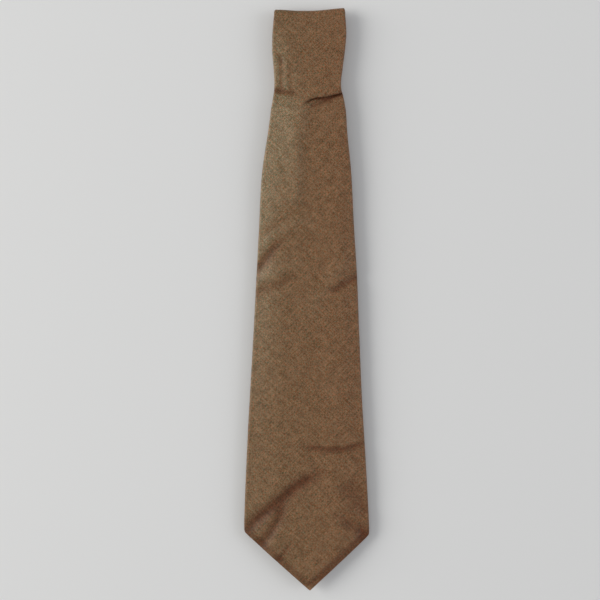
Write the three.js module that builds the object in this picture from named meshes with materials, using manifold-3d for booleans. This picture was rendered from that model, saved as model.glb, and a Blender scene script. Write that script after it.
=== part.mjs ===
// A gentleman's necktie, folded in three as it is put away. Millimetres, +Z up.
// The front run carries the wide blade and lies face up. It turns under at the top fold,
// runs down face down as the neck, turns again at the lower fold, and ends as the tail.
// Each run is a silk envelope wrapped round a wool interlining and lapped down the back.
// The origin is under the middle of the folded tie, on the surface that it lies on.
import * as THREE from "three";
import { mergeVertices } from "three/addons/utils/BufferGeometryUtils.js";
import Module from "manifold-3d";

const wasm = await Module();
wasm.setup();

// ---- Driving dimensions ----
const FRONT_LENGTH = 483; // tip of the blade to the top fold
const NECK_LENGTH = 453; // top fold to lower fold
const TAIL_LENGTH = 440; // lower fold to the tip of the tail
const BLADE_WIDTH = 105;
const FOLD_WIDTH = 60.3; // at the top fold
const NECK_WIDTH = 38;
const TAIL_WIDTH = 46;
const BLADE_TIP_DEPTH = 50; // tip to shoulder
const TAIL_TIP_DEPTH = 23;
const PINCH_BELOW_FOLD = 70; // where the knot used to sit
const PINCH_DEPTH = 9.7;
const PINCH_SPREAD = 28;
const FIRST_JOIN = 237; // bias join, past the top fold
const SECOND_JOIN = 49; // bias join, past the lower fold

const FACE = 0.4; // silk of the face and of the turned sides
const FLAP = 0.35; // silk of each back flap
const TIPPING = 0.25;
const INTERLINING = 0.9;
const CLEAR = 0.3; // between any two layers
const FRONT_GAP = 0.4; // between the faces of neck and tail
const BACK_GAP = 1.2; // between the backs of blade and neck, which holds the keeper loop

const LAP = 6; // how far each back flap passes the centre line
const HEM = 5; // silk turned round the edges of a tip
const NOTCH_RISE = 0.9; // slope of the flaps' lower edges
const NOTCH_TOP = 8; // width of the notch where the flaps meet
const TACK_HEIGHT = 1;
const THREAD = 0.35;
const JOIN_OPEN = 3 * CLEAR; // the groove of a join, which its thread lies in

const KEEPER = { length: 62, height: 9, thick: 0.4, fromTip: 232 };
const LABEL = { length: 52, height: 26, thick: 0.3, fromTip: 200 };
const CARE_LABEL = { length: 20, height: 30, thick: 0.2, fromTip: 262 };

const OUTLINE_STEPS = 32;
const STRAIGHT = 0.05; // an edge bends where a point stands this far off the line
const FOLD_STEPS = 10;
const OVERRUN = 1; // how far a hollow runs out past a cut end
const FAR = FRONT_LENGTH + TAIL_LENGTH;

// ---- The layers of a run, as heights above its back ----
const above = (layer, thick) => [layer[1] + CLEAR, layer[1] + CLEAR + thick];
const outerFlap = [0, FLAP];
const innerFlap = above(outerFlap, FLAP);
const tipping = above(innerFlap, TIPPING);
const interlining = above(tipping, INTERLINING);
const face = above(interlining, FACE);
const RUN = face[1];

const tailBack = 0;
const neckBack = RUN + FRONT_GAP + RUN; // the neck lies face down
const bladeBack = neckBack + BACK_GAP;

const yTop = FRONT_LENGTH / 2;
const yTip = -yTop;
const yLow = yTop - NECK_LENGTH;
const topFold = { y: yTop - BACK_GAP / 2 - RUN, z: neckBack + BACK_GAP / 2 };
const lowFold = { y: yLow + FRONT_GAP / 2 + RUN, z: RUN + FRONT_GAP / 2 };

// ---- Solids ----
function solid(geometry) {
  geometry.deleteAttribute("normal");
  geometry.deleteAttribute("uv");
  const merged = mergeVertices(geometry, 1e-4);
  return new wasm.Manifold(
    new wasm.Mesh({
      numProp: 3,
      vertProperties: new Float32Array(merged.attributes.position.array),
      triVerts: new Uint32Array(merged.index.array),
    }),
  );
}

function box([x0, x1], [y0, y1], [z0, z1]) {
  const geometry = new THREE.BoxGeometry(x1 - x0, y1 - y0, z1 - z0);
  return solid(geometry.translate((x0 + x1) / 2, (y0 + y1) / 2, (z0 + z1) / 2));
}

function plate(points, zs) {
  const shape = new THREE.Shape(points.map(([x, y]) => new THREE.Vector2(x, y)));
  const [low, high] = [Math.min(...zs), Math.max(...zs)];
  const geometry = new THREE.ExtrudeGeometry(shape, { depth: high - low, bevelEnabled: false });
  return solid(geometry.translate(0, 0, low));
}

const rightOf = (x) => box([x, FAR], [-FAR, FAR], [-FAR, FAR]);
const beyond = (y) => box([-FAR, FAR], [y, FAR], [-FAR, FAR]);

// The points of an edge without those on a straight stretch of it.
function onlyBends(points) {
  const kept = [points[0]];
  for (let i = 1; i < points.length - 1; i += 1) {
    const [[x0, y0], [x, y], [x1, y1]] = [kept[kept.length - 1], points[i], points[i + 1]];
    const off = (x1 - x0) * (y - y0) - (y1 - y0) * (x - x0);
    if (Math.abs(off) > STRAIGHT * Math.hypot(x1 - x0, y1 - y0)) {
      kept.push(points[i]);
    }
  }
  return [...kept, points[points.length - 1]];
}

// ---- Widths along the tie ----
const taper = (BLADE_WIDTH - FOLD_WIDTH) / (FRONT_LENGTH - BLADE_TIP_DEPTH);

function widthFromTip(distance) {
  return Math.max(NECK_WIDTH, BLADE_WIDTH - taper * (distance - BLADE_TIP_DEPTH));
}

function bladeHalfWidth(y) {
  const offPinch = (yTop - PINCH_BELOW_FOLD - y) / PINCH_SPREAD;
  return (widthFromTip(y - yTip) - PINCH_DEPTH * Math.exp(-(offPinch ** 2))) / 2;
}

function neckHalfWidth(y) {
  return widthFromTip(FRONT_LENGTH + yTop - y) / 2;
}

function tailHalfWidth(y) {
  const share = (y - yLow) / (TAIL_LENGTH - TAIL_TIP_DEPTH);
  return (NECK_WIDTH + (TAIL_WIDTH - NECK_WIDTH) * share) / 2;
}

// ---- A straight run, from its start (a tip or a cut end) to its other end ----
function straightRun({ halfWidth, start, end, tipDepth = 0, back, faceUp }) {
  const along = Math.sign(end - start);
  const shoulderHalf = halfWidth(start + along * tipDepth);
  const slant = Math.hypot(shoulderHalf, tipDepth) / shoulderHalf;
  const height = (level) => (faceUp ? back + level : back - level);

  function outline(inset) {
    const openEnd = inset > 0 ? OVERRUN : 0;
    const shoulder = (tipDepth * (shoulderHalf - inset)) / shoulderHalf + inset * slant;
    const first = start + along * (tipDepth > 0 ? shoulder : -openEnd);
    const last = end + along * openEnd;
    const right = [];
    for (let i = 0; i <= OUTLINE_STEPS; i += 1) {
      const y = first + ((last - first) * i) / OUTLINE_STEPS;
      const onRun = along * THREE.MathUtils.clamp(along * y, along * start, along * end);
      right.push([halfWidth(onRun) - inset, y]);
    }
    const edge = onlyBends(right);
    const left = edge.map(([x, y]) => [-x, y]).reverse();
    const tip = tipDepth > 0 ? [[0, start + along * inset * slant]] : [];
    return [...tip, ...edge, ...left];
  }

  return {
    start,
    end,
    along,
    shoulderHalf,
    slant,
    tipDepth,
    height,
    slab: (levels, inset = 0) => plate(outline(inset), levels.map(height)),
    filling(levels, inset) {
      const ends = [Math.min(start, end), Math.max(start, end)];
      return this.slab(levels, inset).intersect(box([-FAR, FAR], ends, [-FAR, FAR]));
    },
  };
}

// ---- A fold, half a turn of the same layers ----
function foldedRun({ centre, width, opensTo, gap, backInside }) {
  const radius = (level) => gap / 2 + (backInside ? level : RUN - level);
  const from = opensTo > 0 ? -Math.PI / 2 : Math.PI / 2;

  function slab(levels, inset = 0) {
    const radii = levels.map(radius);
    const ring = [];
    for (const r of [Math.max(...radii), Math.min(...radii)]) {
      const arc = [];
      for (let i = 0; i <= FOLD_STEPS; i += 1) {
        const angle = from + (Math.PI * i) / FOLD_STEPS;
        arc.push([centre.y + r * Math.cos(angle), centre.z + r * Math.sin(angle)]);
      }
      ring.push(...(ring.length ? arc.reverse() : arc));
    }
    const shape = new THREE.Shape(ring.map(([y, z]) => new THREE.Vector2(y, z)));
    const depth = width - 2 * inset;
    const geometry = new THREE.ExtrudeGeometry(shape, { depth, bevelEnabled: false });
    geometry.translate(0, 0, -depth / 2);
    const axes = new THREE.Matrix4().makeBasis(
      new THREE.Vector3(0, 1, 0),
      new THREE.Vector3(0, 0, 1),
      new THREE.Vector3(1, 0, 0),
    );
    return solid(geometry.applyMatrix4(axes));
  }

  return { slab, filling: slab };
}

// ---- The silk envelope: face, turned sides and two flaps lapped down the back ----
function envelope(run) {
  const lapEnd = innerFlap[0] + CLEAR / 2;
  const wrapped = run.slab([innerFlap[0], RUN]);
  const outer = run.slab([0, lapEnd]).intersect(rightOf(-LAP));
  const inside = run.slab([innerFlap[1], face[0]], FACE);
  const besideInner = run.slab([outerFlap[1], innerFlap[1] + CLEAR / 2], FACE);
  const betweenFlaps = run.slab([outerFlap[1], innerFlap[0]], FACE);
  return wrapped
    .add(outer)
    .subtract(inside)
    .subtract(besideInner.intersect(rightOf(LAP)))
    .subtract(betweenFlaps);
}

// The flaps stop short of a tip in an upside-down V, which shows the tipping behind it.
function notch(run, hem) {
  const { start, along, shoulderHalf, slant, tipDepth } = run;
  const rise = NOTCH_RISE * (shoulderHalf - NOTCH_TOP / 2);
  const at = (distance) => start + along * distance;
  const side = shoulderHalf - hem;
  const low = (tipDepth * side) / shoulderHalf + hem * slant;
  return [
    [0, at(hem * slant)],
    [side, at(low)],
    [NOTCH_TOP / 2, at(tipDepth + rise)],
    [-NOTCH_TOP / 2, at(tipDepth + rise)],
    [-side, at(low)],
  ];
}

const notchTop = (run) => run.tipDepth + NOTCH_RISE * (run.shoulderHalf - NOTCH_TOP / 2);

function tippedEnvelope(run) {
  const seen = plate(notch(run, HEM), [-FLAP, innerFlap[1] + CLEAR / 2].map(run.height));
  const past = plate(notch(run, -FLAP), [-FLAP, innerFlap[0]].map(run.height));
  return envelope(run).subtract(seen).subtract(past);
}

// ---- Pieces that belong to a run with a tip ----
function tippingOf(run) {
  const edge = run.start + run.along * (notchTop(run) + 2 * HEM);
  const whole = run.filling(tipping, FACE + CLEAR);
  return run.along > 0 ? whole.subtract(beyond(edge)) : whole.intersect(beyond(edge));
}

function barTackOf(run) {
  const top = run.start + run.along * (notchTop(run) - CLEAR);
  const ys = [top, top - run.along * TACK_HEIGHT].sort((a, b) => a - b);
  const half = NOTCH_TOP / 2 - CLEAR;
  const zs = outerFlap.map(run.height).sort((a, b) => a - b);
  return box([-half, half], ys, zs);
}

// A thread just inside the hem, which holds the tipping along both edges of the tip.
function tippingStitchOf(run) {
  const reach = HEM + CLEAR;
  const [outerTip, outerSide] = notch(run, reach);
  const [innerTip, innerSide] = notch(run, reach + THREAD);
  const mirror = ([x, y]) => [-x, y];
  const band = [outerTip, outerSide, innerSide, innerTip, mirror(innerSide), mirror(outerSide)];
  return plate(band, innerFlap.map(run.height));
}

// The slip stitch runs beside the free edge of the outer flap.
function slipStitch(run, from, to) {
  const right = -LAP - CLEAR;
  const zs = [FLAP / 2, FLAP / 2 + THREAD].map(run.height).sort((a, b) => a - b);
  return box([right - THREAD, right], [Math.min(from, to), Math.max(from, to)], zs);
}

// ---- Bias joins between the silk panels ----
// The slab between two offsets, low and high, from the 45 degree line through (0, y).
function diagonal(y, low, high) {
  const geometry = new THREE.BoxGeometry(FAR, high - low, FAR);
  geometry.translate(0, (low + high) / 2, 0);
  geometry.rotateZ(Math.PI / 4);
  return solid(geometry.translate(0, y, 0));
}

const beforeJoin = (y) => diagonal(y, -FAR, -JOIN_OPEN / 2);
const afterJoin = (y) => diagonal(y, JOIN_OPEN / 2, FAR);

function joinThread(run, y) {
  const middle = (face[0] + face[1]) / 2;
  const levels = [middle - CLEAR / 2, middle + CLEAR / 2];
  return run.slab(levels, FACE).intersect(diagonal(y, -CLEAR / 2, CLEAR / 2));
}

// ---- The runs and folds of the tie ----
const blade = straightRun({
  halfWidth: bladeHalfWidth,
  start: yTip,
  end: topFold.y - CLEAR,
  tipDepth: BLADE_TIP_DEPTH,
  back: bladeBack,
  faceUp: true,
});
const neck = straightRun({
  halfWidth: neckHalfWidth,
  start: topFold.y - CLEAR,
  end: lowFold.y + CLEAR,
  back: neckBack,
  faceUp: false,
});
const tail = straightRun({
  halfWidth: tailHalfWidth,
  start: yLow + TAIL_LENGTH,
  end: lowFold.y + CLEAR,
  tipDepth: TAIL_TIP_DEPTH,
  back: tailBack,
  faceUp: true,
});
const topTurn = foldedRun({
  centre: topFold,
  width: FOLD_WIDTH,
  opensTo: 1,
  gap: BACK_GAP,
  backInside: true,
});
const lowTurn = foldedRun({
  centre: lowFold,
  width: NECK_WIDTH,
  opensTo: -1,
  gap: FRONT_GAP,
  backInside: false,
});

const firstJoin = yTop - FIRST_JOIN;
const secondJoin = yLow + SECOND_JOIN;

// ---- What is sewn on the back of the blade, in the gap before the neck ----
function patch({ length, height, thick, fromTip }) {
  const y = yTip + fromTip;
  const z = bladeBack - CLEAR;
  return box([-length / 2, length / 2], [y - height / 2, y + height / 2], [z - thick, z]);
}

function grown(piece, by) {
  return { ...piece, length: piece.length + 2 * by, height: piece.height + 2 * by };
}

const labelStitching = patch(grown(LABEL, CLEAR + THREAD)).subtract(
  patch({ ...grown(LABEL, CLEAR), thick: LABEL.thick * 3 }).translate([0, 0, LABEL.thick]),
);

function keeperTack(side) {
  const low = KEEPER.length / 2 + CLEAR;
  const xs = [side * low, side * (low + TACK_HEIGHT)].sort((a, b) => a - b);
  const y = yTip + KEEPER.fromTip;
  const half = KEEPER.height / 2 - TACK_HEIGHT;
  return box(xs, [y - half, y + half], [bladeBack - CLEAR - KEEPER.thick, bladeBack - CLEAR]);
}

// ---- Finishes ----
const silk = { color: 0x75593c, roughness: 0.55, metalness: 0 };
const wool = { color: 0xd8d0bd, roughness: 0.95, metalness: 0 };
const lining = { color: 0x6a4a30, roughness: 0.4, metalness: 0 };
const thread = { color: 0x5a4129, roughness: 0.7, metalness: 0 };
const satin = { color: 0x2e241c, roughness: 0.45, metalness: 0 };
const tape = { color: 0xe4ded0, roughness: 0.6, metalness: 0 };

const tie = new THREE.Group();

function add(name, manifold, finish) {
  const { vertProperties, triVerts } = manifold.getMesh();
  const geometry = new THREE.BufferGeometry();
  geometry.setAttribute("position", new THREE.BufferAttribute(vertProperties, 3));
  geometry.setIndex(new THREE.BufferAttribute(triVerts, 1));
  const mesh = new THREE.Mesh(geometry, new THREE.MeshStandardMaterial(finish));
  mesh.name = name;
  tie.add(mesh);
}

const insideWall = FACE + CLEAR;

// Blade
add("blade_envelope", tippedEnvelope(blade), silk);
add("blade_interlining", blade.filling(interlining, insideWall), wool);
add("blade_tipping", tippingOf(blade), lining);
add("blade_tipping_stitch", tippingStitchOf(blade), thread);
add("blade_bar_tack", barTackOf(blade), thread);
add("blade_slip_stitch", slipStitch(blade, yTip + notchTop(blade) + HEM, blade.end), thread);
add("keeper_loop", patch(KEEPER), silk);
add("keeper_tack_left", keeperTack(-1), thread);
add("keeper_tack_right", keeperTack(1), thread);
add("woven_label", patch(LABEL), satin);
add("label_stitching", labelStitching, thread);
add("care_label", patch(CARE_LABEL), tape);

// Top fold
add("top_fold_envelope", envelope(topTurn), silk);
add("top_fold_interlining", topTurn.filling(interlining, insideWall), wool);

// Neck
const neckSilk = envelope(neck);
add("neck_front_envelope", neckSilk.intersect(afterJoin(firstJoin)), silk);
add("neck_gusset", neckSilk.intersect(beforeJoin(firstJoin)), silk);
add("first_join_seam", joinThread(neck, firstJoin), thread);
add("neck_interlining", neck.filling(interlining, insideWall), wool);
add("neck_slip_stitch", slipStitch(neck, neck.start, neck.end), thread);

// Lower fold
add("lower_fold_envelope", envelope(lowTurn), silk);
add("lower_fold_interlining", lowTurn.filling(interlining, insideWall), wool);

// Tail
const tailSilk = tippedEnvelope(tail);
add("tail_gusset_end", tailSilk.intersect(beforeJoin(secondJoin)), silk);
add("tail_envelope", tailSilk.intersect(afterJoin(secondJoin)), silk);
add("second_join_seam", joinThread(tail, secondJoin), thread);
add("tail_interlining", tail.filling(interlining, insideWall), wool);
add("tail_tipping", tippingOf(tail), lining);
add("tail_tipping_stitch", tippingStitchOf(tail), thread);
add("tail_bar_tack", barTackOf(tail), thread);
add("tail_slip_stitch", slipStitch(tail, tail.start - notchTop(tail) - HEM, tail.end), thread);

export default tie;
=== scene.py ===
"""A gentleman's necktie, folded in three as it is put away: a bias-cut shot-silk sleeve
round a wool interlining, tipped at both ends and lapped down the back."""
import math

import bpy
import numpy as np
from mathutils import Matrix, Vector


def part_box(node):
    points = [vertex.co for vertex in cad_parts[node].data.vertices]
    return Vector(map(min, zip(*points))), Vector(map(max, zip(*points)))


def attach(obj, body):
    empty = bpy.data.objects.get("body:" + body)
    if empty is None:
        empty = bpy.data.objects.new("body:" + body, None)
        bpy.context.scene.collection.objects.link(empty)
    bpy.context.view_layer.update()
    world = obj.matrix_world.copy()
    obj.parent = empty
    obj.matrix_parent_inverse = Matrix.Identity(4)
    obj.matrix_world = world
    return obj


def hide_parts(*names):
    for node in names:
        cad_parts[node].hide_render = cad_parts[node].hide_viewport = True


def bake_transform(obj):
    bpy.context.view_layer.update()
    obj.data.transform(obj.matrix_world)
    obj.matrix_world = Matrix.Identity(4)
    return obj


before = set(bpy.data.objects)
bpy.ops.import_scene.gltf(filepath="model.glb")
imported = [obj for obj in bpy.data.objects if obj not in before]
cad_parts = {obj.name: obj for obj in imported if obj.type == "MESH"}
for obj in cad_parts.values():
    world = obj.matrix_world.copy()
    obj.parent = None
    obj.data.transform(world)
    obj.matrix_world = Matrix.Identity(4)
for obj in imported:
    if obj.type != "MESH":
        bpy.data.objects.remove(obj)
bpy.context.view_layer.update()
scene = bpy.context.scene
scene.view_settings.view_transform = "Standard"
MM = 0.001  # the sizes below are in millimetres, the made meshes in metres

# ---- Camera ----
# It looks straight down on the tie from a tall stand, with a long lens. It takes in a field half a
# metre wide, and looks at a point beside the tie's middle.
FIELD = 0.5
LENS = 85.0
LOOKS_AT = (-0.00625, 0.0002, 0.010)
camera_data = bpy.data.cameras.new("camera")
SENSOR = 36.0
camera_data.lens = LENS
camera_data.sensor_width = SENSOR
camera = bpy.data.objects.new("camera", camera_data)
camera.location = Vector(LOOKS_AT) + Vector((0, 0, FIELD * LENS / SENSOR))
scene.collection.objects.link(camera)
scene.camera = camera

# ---- Floor and light ----
# A pale matt table top. A broad lamp stands on the left, a little towards the fold, a weaker one
# on the right, and a pale room fills the shadows.


def srgb(hex_colour):
    """The linear colour of an sRGB hex value."""
    channels = [int(hex_colour[i : i + 2], 16) / 255 for i in (1, 3, 5)]
    linear = [c / 12.92 if c <= 0.04045 else ((c + 0.055) / 1.055) ** 2.4 for c in channels]
    return (*linear, 1.0)


def node(tree, kind, links=None, **settings):
    """Adds a node. Settings are its properties, or its inputs where a name starts with in_."""
    added = tree.nodes.new(kind)
    for name, value in settings.items():
        if name.startswith("in_"):
            key = name[3:]
            added.inputs[int(key) if key.isdigit() else key.replace("_", " ")].default_value = value
        else:
            setattr(added, name, value)
    for name, source in (links or {}).items():
        tree.links.new(source, added.inputs[name])
    return added


def material(name):
    """An empty node material with its surface shader, which it also returns."""
    made = bpy.data.materials.new(name)
    made.use_nodes = True
    made.node_tree.nodes.clear()
    shader = node(made.node_tree, "ShaderNodeBsdfPrincipled")
    node(made.node_tree, "ShaderNodeOutputMaterial", {"Surface": shader.outputs[0]})
    return made, shader


def link_mesh(name, vertices, faces):
    """Vertices in millimetres, as an object at the origin."""
    mesh = bpy.data.meshes.new(name)
    mesh.from_pydata((np.asarray(vertices) * MM).tolist(), [], faces)
    mesh.polygons.foreach_set("use_smooth", [True] * len(mesh.polygons))
    mesh.update()
    made = bpy.data.objects.new(name, mesh)
    scene.collection.objects.link(made)
    return made


matt_top, top_shader = material("matt white table top")
top_shader.inputs["Roughness"].default_value = 0.9
top_shader.inputs["Base Color"].default_value = srgb("#E4E4E3")
TABLE_HALF = 4000
CORNERS = [(-1, -1), (1, -1), (1, 1), (-1, 1)]
table_top = link_mesh("table_top", [(TABLE_HALF * x, TABLE_HALF * y, 0) for x, y in CORNERS],
                      [(0, 1, 2, 3)])
table_top.data.materials.append(matt_top)

room = bpy.data.worlds.new("room")
scene.world = room
room.use_nodes = True
ROOM_STRENGTH = 0.43
room.node_tree.nodes["Background"].inputs["Color"].default_value = srgb("#F7F8FA")
room.node_tree.nodes["Background"].inputs["Strength"].default_value = ROOM_STRENGTH


def lamp(name, at, size, power, colour):
    """A round area lamp that faces the tie: place and size in metres, power in watts."""
    data = bpy.data.lights.new(name, "AREA")
    data.shape = "DISK"
    data.size = size
    data.energy = power
    data.color = srgb(colour)[:3]
    made = bpy.data.objects.new(name, data)
    made.location = at
    made.rotation_euler = (-Vector(at)).to_track_quat("-Z", "Y").to_euler()
    scene.collection.objects.link(made)


lamp("window_light", at=(-3.0, 0.4, 1.57), size=2.6, power=92.0, colour="#FFFEFB")
lamp("far_window", at=(2.9, 0.0, 1.58), size=2.4, power=26.0, colour="#F8FAFF")

# ---- Silk of the blade, round the top fold ----
# One bias-cut silk panel. Its sides turn round the interlining and lap down the back, its tip is
# hemmed, and its top turns under in a soft fold. Years of tying left a pinch and creases in it.
# RUN is the thickness of one run of the tie. Levels are heights above the run's back: of the
# face, of the flap that lies inside and of the flap that lies outside.
RUN = 3.45
SILK = 0.3
FACE_LEVEL, INNER_LEVEL, OUTER_LEVEL = 3.25, 0.825, 0.175
LAP = 6.0
EDGE_ROUND = 1.4
HEM = 5.0

blade_low = np.array(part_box("blade_envelope")[0]) / MM
fold_high = np.array(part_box("top_fold_envelope")[1]) / MM
neck_high = np.array(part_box("neck_front_envelope")[1]) / MM
TIP_Y = blade_low[1]
BLADE_BACK = blade_low[2]
NECK_BACK = neck_high[2]
TOP_Z = (BLADE_BACK + NECK_BACK) / 2
TOP_Y = fold_high[1] - RUN - (BLADE_BACK - NECK_BACK) / 2
TOP_GAP = BLADE_BACK - TOP_Z
FOLD_AT = TOP_Y - TIP_Y
FOLD_ARC = 11.0
# The neck's half width: at the fold, and where it is narrowest, with the slope between them.
FOLD_HALF, NARROW_HALF, NECK_SLOPE = 29.94, 19.0, 0.0516

# The sides, as distance from the tip and distance from the middle. The tip is a point a little off
# the middle; its two edges run straight to the shoulders, where the blade is widest.
LEFT_SIDE = [(30, 53.6), (75, 52.2), (117, 50.4), (217, 44.8), (300, 40.4), (350, 37.5), (384, 32.4),
             (400, 30.3), (418, 27.6), (436, 28.2), (450, 29.3), (464, 29.0), (479, 27.8)]
RIGHT_SIDE = [(30, 52.5), (75, 50.4), (117, 48.0), (158, 45.5), (217, 43.0), (267, 41.0), (300, 38.9),
              (350, 36.2), (384, 32.9), (400, 31.8), (411, 29.8), (419, 28.0), (436, 29.4), (450, 31.2),
              (464, 32.3), (479, 31.4)]
TIP_X = 2.0
LEFT_WIDEST, RIGHT_WIDEST = 52.8, 51.8
LEFT_SHOULDER, RIGHT_SHOULDER = 48.6, 46.2
POINT_ROUND, SHOULDER_ROUND = 1.2, 1.5


def curve(points, at):
    """A smooth line through points, flat beyond its ends."""
    xs, ys = np.array(points, float).T
    slopes = np.gradient(ys, xs)
    i = np.clip(np.searchsorted(xs, at) - 1, 0, len(xs) - 2)
    step = xs[i + 1] - xs[i]
    t = np.clip((at - xs[i]) / step, 0, 1)
    start = (2 * t**3 - 3 * t**2 + 1) * ys[i] + (t**3 - 2 * t**2 + t) * step * slopes[i]
    return start + (3 * t**2 - 2 * t**3) * ys[i + 1] + (t**3 - t**2) * step * slopes[i + 1]


def ease(value, start, end):
    """0 before start and 1 after end, with a smooth rise between. Start may be the larger."""
    t = np.clip((value - start) / (end - start), 0, 1)
    return t * t * (3 - 2 * t)


def softer(a, b, by):
    """The smaller of two, rounded where they meet."""
    return (a + b - np.sqrt((a - b) ** 2 + by**2)) / 2


def blade_left(s):
    pointed = (LEFT_WIDEST + TIP_X) * np.sqrt(s * (s + POINT_ROUND)) / LEFT_SHOULDER - TIP_X
    return -softer(pointed, curve(LEFT_SIDE, s), SHOULDER_ROUND)


def blade_right(s):
    pointed = (RIGHT_WIDEST - TIP_X) * np.sqrt(s * (s + POINT_ROUND)) / RIGHT_SHOULDER + TIP_X
    return softer(pointed, curve(RIGHT_SIDE, s), SHOULDER_ROUND)


# Creases worn into the blade: height, breadth on the left and on the right of the line, and the
# points that the line goes through, each with its x and its distance from the tip.
CREASES = [
    (-2.9, 5.4, 4.6, [(20, 103), (5, 95), (-7, 88.5), (-15.5, 81.5), (-25, 73.5), (-36, 64),
                      (-49, 53), (-80, 27)]),
    (-2.1, 4.4, 4.4, [(-16, 76), (-21, 67), (-25, 57), (-33, 45), (-38, 39), (-58, 19)]),
    (-1.5, 3.0, 2.6, [(-12, 43), (-19, 32), (-26, 23), (-36, 9)]),
    (-2.2, 1.7, 3.6, [(-6, 122), (4, 119.5), (16, 118), (28, 117.5), (42, 121), (66, 131)]),
    (-0.4, 1.8, 3.0, [(-2, 122), (4, 107), (9, 99.5), (28, 99)]),
    (-1.5, 4.0, 6.0, [(22, 68), (40, 52), (49, 44), (74, 22)]),
    (-1.2, 10.0, 8.0, [(28, 92), (40, 76), (54, 58)]),
    (-0.8, 5.0, 4.5, [(4, 326), (-17, 311), (-46, 288)]),
    (0.9, 4.0, 5.0, [(8, 316), (-14, 304), (-34, 290), (-56, 274)]),
    (-1.6, 4.8, 4.4, [(-16, 300), (-27, 287), (-36, 274), (-46, 260), (-64, 238)]),
    (1.0, 5.0, 5.0, [(0, 280), (-16, 268), (-30, 264), (-48, 262)]),
    (-1.0, 4.4, 5.0, [(-4, 268), (-22, 256), (-36, 250), (-64, 240)]),
    (1.0, 6.0, 6.0, [(38, 286), (22, 262), (10, 246), (-6, 220)]),
    (-2.0, 2.6, 3.4, [(12, 245), (28, 254), (38, 259), (66, 275)]),
    (-1.6, 2.6, 3.8, [(-44, 419), (-22, 415.5), (-3, 412)]),
    (0.6, 3.5, 3.5, [(-38, 410), (-20, 406), (-9, 394)]),
    (-0.9, 2.4, 2.6, [(-22.5, 449), (-21.5, 430), (-22.5, 411)]),
    (-0.7, 2.8, 2.6, [(-15, 447), (-15, 428), (-12, 410)]),
    (0.4, 2.6, 2.6, [(-31, 468), (-24, 451), (-15, 432)]),
    (-0.5, 2.4, 2.4, [(-29, 454), (-24, 446), (-19, 437)]),
    (2.1, 6.0, 13.0, [(-2, 424), (-8, 385), (-10, 355), (-10, 290)]),
    (-1.6, 2.2, 2.4, [(0, 401), (10, 406.0), (24, 410)]),
]
CREASE_SHARE = 0.75
CREASE_FADE = 0.25
SIDE_BLEND = 40
FULL_SHADE = 2.7
# The pleat where the knot sat: its line, how far its upper lip rises and slides over, and how far
# the rise reaches above and below the line.
PLEAT = [(-7, 401.5), (-3, 405.5), (1, 408.8), (7, 411.2), (14, 411.8), (22, 413.6), (29, 415.6),
         (36, 417.4)]
PLEAT_AT = 411.8
PLEAT_RISE, PLEAT_OVERLAP = 1.9, 2.4
PLEAT_ABOVE, PLEAT_BELOW, PLEAT_EDGE = 9.0, 4.0, 0.5
# The sleeve is plumper away from its sides, and steps down over the hem. No relief is deeper than
# the sleeve has room for.
PLUMP, PLUMP_SIDE = 0.9, 14.0
HEM_STEP = 1.1
HEM_SLANT = 0.68
MOST_RELIEF = 1.9
# What nothing holds up droops: how far, over what span, and how little over the tail's width.
SAG, SAG_SPAN = 4.4, 24.0
TAIL_CLEAR, TAIL_WIDTH = 0.6, 21.0
BARE_TIP = 31.0
# How much further the fold's face reaches in the middle and at its two ears.
EAR_MIDDLE, EAR_RIGHT, EAR_LEFT = 0.4, 2.4, 1.0


def crease_heights(x, s):
    """What all the creases together add to the height of a point."""
    total = np.zeros_like(x)
    for height, left_breadth, right_breadth, line in CREASES:
        nearest = np.full_like(x, 1e9)
        along = np.zeros_like(x)
        side = np.zeros_like(x)
        pieces = list(zip(line, line[1:]))
        for i, ((x0, s0), (x1, s1)) in enumerate(pieces):
            dx, ds = x1 - x0, s1 - s0
            t = np.clip(((x - x0) * dx + (s - s0) * ds) / (dx * dx + ds * ds), 0, 1)
            away = np.hypot(x - x0 - t * dx, s - s0 - t * ds)
            along = np.where(away < nearest, (i + t) / len(pieces), along)
            side = np.where(away < nearest, dx * (s - s0) - ds * (x - x0), side)
            nearest = np.minimum(nearest, away)
        fade = ease(along, 0, CREASE_FADE) * ease(along, 1, 1 - CREASE_FADE)
        breadth = right_breadth + (left_breadth - right_breadth) * ease(side / SIDE_BLEND, -1, 1)
        total += height * np.exp(-((nearest / breadth) ** 2)) * fade
    return total


def hem_share(inward, s):
    """1 along an edge of the tip, falling to 0 at the hem's inner edge."""
    return ease(inward * HEM_SLANT, HEM + 2.5, HEM - 1.5) * ease(s, 58, 47) * ease(s, 0, 9)


def shade_marks(x, s, half):
    """How much painted shade a point of the face gets, in the creases, under the pleat's lip and along the
    tip's hems, or, where it is negative, how much painted sheen lightens it.
    """
    # Painted shade in the creases, darker where they are deeper.
    creased = -crease_heights(x, s) / FULL_SHADE
    above = s - curve(PLEAT, x)
    # Painted shade in the groove under the pleat's lip.
    groove = ease(x, -8, 10) * np.exp(-(((above + 1.3) / (1.3 + 1.2 * ease(x, 4, 20))) ** 2))
    # Painted shade along the hem strips at both edges of the tip, which slope away from the light.
    hems = 0.65 * hem_share(blade_right(s) - x, s) + 0.55 * hem_share(x - blade_left(s), s)
    # Painted sheen on the left of the upper blade, which tilts towards the lamp; it is kept out of the
    # creases.
    painted_sheen = 0.95 * ease(x / half, -0.3, -1.0) * ease(s, 110, 330) * ease(s, 474, 444)
    painted_sheen = painted_sheen + 0.5 * ease(x / half, -0.15, -0.45) * ease(s, 320, 380) * ease(s, 448, 425)
    painted_sheen = painted_sheen * np.clip(1 - 2.5 * np.maximum(creased, 0), 0, 1)
    return np.clip(np.maximum(creased, 0.6 * creased) + 1.4 * groove + hems - painted_sheen, -1, 1)


def neck_half(y):
    """Half the width of the neck, which the blade rests on."""
    return np.maximum(NARROW_HALF, FOLD_HALF - NECK_SLOPE * (TOP_Y - y))


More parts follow.
